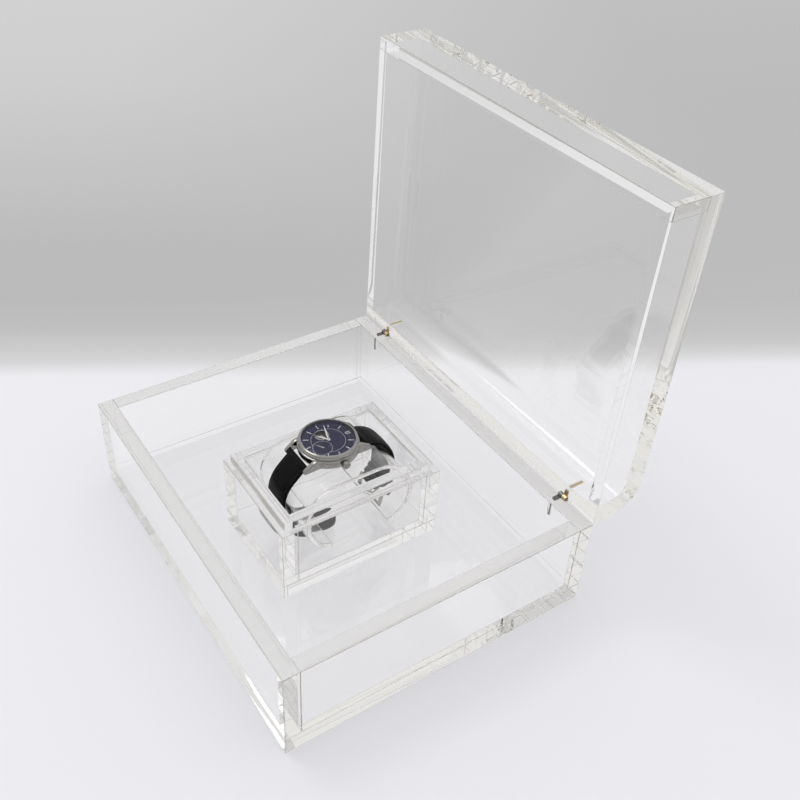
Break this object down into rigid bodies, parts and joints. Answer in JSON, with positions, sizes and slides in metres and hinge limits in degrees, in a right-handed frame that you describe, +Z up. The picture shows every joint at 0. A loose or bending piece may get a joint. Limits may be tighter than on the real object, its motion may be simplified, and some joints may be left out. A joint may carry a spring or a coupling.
{
  "type": "watch display box",
  "caption": "Clear acrylic box with a hinged bent-sheet lid, holding a small open box with a C-shaped ring that carries a strapped wristwatch.",
  "frame": {"origin": "centre of the base's underside", "axes": "+Z up, the hinge runs along X at the +Y side, the front faces -Y"},
  "size_m": [0.25, 0.244, 0.2704],
  "materials": {
    "clear_acrylic": "polished",
    "steel": "satin",
    "brass": "polished",
    "polished_steel": "polished",
    "crystal": "polished",
    "blue_dial": "gloss",
    "holder_plastic": "matte",
    "leather": "satin"
  },
  "bodies": {
    "base": {"base_floor": "clear_acrylic", "base_front_wall": "clear_acrylic", "base_rear_wall": "clear_acrylic", "base_left_wall": "clear_acrylic", "base_right_wall": "clear_acrylic", "hinge_left_base_leaf": "steel", "hinge_right_base_leaf": "steel", "hinge_left_rivet": "steel", "hinge_right_rivet": "steel"},
    "lid": {"lid_bent_sheet": "clear_acrylic", "lid_front_wall": "clear_acrylic", "lid_left_wall": "clear_acrylic", "lid_right_wall": "clear_acrylic", "hinge_left_lid_leaf": "brass", "hinge_right_lid_leaf": "brass"},
    "small_box": {"small_box_floor": "clear_acrylic", "small_box_front_wall": "clear_acrylic", "small_box_rear_wall": "clear_acrylic", "small_box_left_wall": "clear_acrylic", "small_box_right_wall": "clear_acrylic"},
    "ring": {"c_ring": "clear_acrylic"},
    "watch": {"watch_case": "polished_steel", "watch_case_back": "polished_steel", "watch_bezel": "polished_steel", "watch_crystal": "crystal", "watch_movement_holder": "holder_plastic", "watch_movement": "brass", "watch_dial": "blue_dial", "watch_flange_ring": "blue_dial", "watch_hour_markers": "polished_steel", "strap_tail_half": "leather", "strap_buckle_half": "leather", "strap_keepers": "leather", "spring_bars": "steel", "buckle_frame": "polished_steel", "buckle_bar": "steel", "buckle_prong": "polished_steel"},
    "hour_hand": {"watch_hour_hand": "polished_steel"},
    "minute_hand": {"watch_minute_hand": "polished_steel"},
    "seconds_hand": {"watch_seconds_hand": "polished_steel"},
    "balance": {"watch_balance_wheel": "brass"},
    "stem": {"watch_crown_stem": "steel"},
    "crown": {"watch_crown": "polished_steel"}
  },
  "joints": [
    {"name": "lid_hinge", "type": "hinge", "parent": "base", "child": "lid", "pos_m": [0, 0.1032, 0.0642], "axis": [-1, 0, 0], "range_deg": [-91, 0]},
    {"name": "small_box_lift", "type": "slide", "parent": "base", "child": "small_box", "axis": [0, 0, 1], "range_m": [0, 0.07]},
    {"name": "ring_lift", "type": "slide", "parent": "small_box", "child": "ring", "axis": [0, 0, 1], "range_m": [0, 0.06]},
    {"name": "strap_slide", "type": "slide", "parent": "ring", "child": "watch", "axis": [1, 0, 0], "range_m": [-0.0145, 0.017]},
    {"name": "minute_hand_turn", "type": "hinge", "parent": "watch", "child": "minute_hand", "pos_m": [0.0016, -0.0042, 0.0849], "axis": [0, 0, -1], "continuous": true},
    {"name": "hour_hand_turn", "type": "hinge", "parent": "watch", "child": "hour_hand", "pos_m": [0.0016, -0.0042, 0.0849], "axis": [0, 0, -1], "continuous": true},
    {"name": "seconds_hand_turn", "type": "hinge", "parent": "watch", "child": "seconds_hand", "pos_m": [0.0057, -0.0105, 0.0839], "axis": [0, 0, -1], "continuous": true},
    {"name": "balance_swing", "type": "hinge", "parent": "watch", "child": "balance", "pos_m": [-0.0044, -0.0053, 0.0819], "axis": [0, 0, 1], "range_deg": [-270, 270]},
    {"name": "crown_pull", "type": "slide", "parent": "watch", "child": "stem", "axis": [1, 0, 0], "range_m": [0, 0.0012]},
    {"name": "crown_turn", "type": "hinge", "parent": "stem", "child": "crown", "pos_m": [0.0233, -0.0042, 0.0809], "axis": [1, 0, 0], "continuous": true}
  ],
  "couplings": [
    {"joint": "hour_hand_turn", "follows": "minute_hand_turn", "ratio": 0.083333}
  ]
}
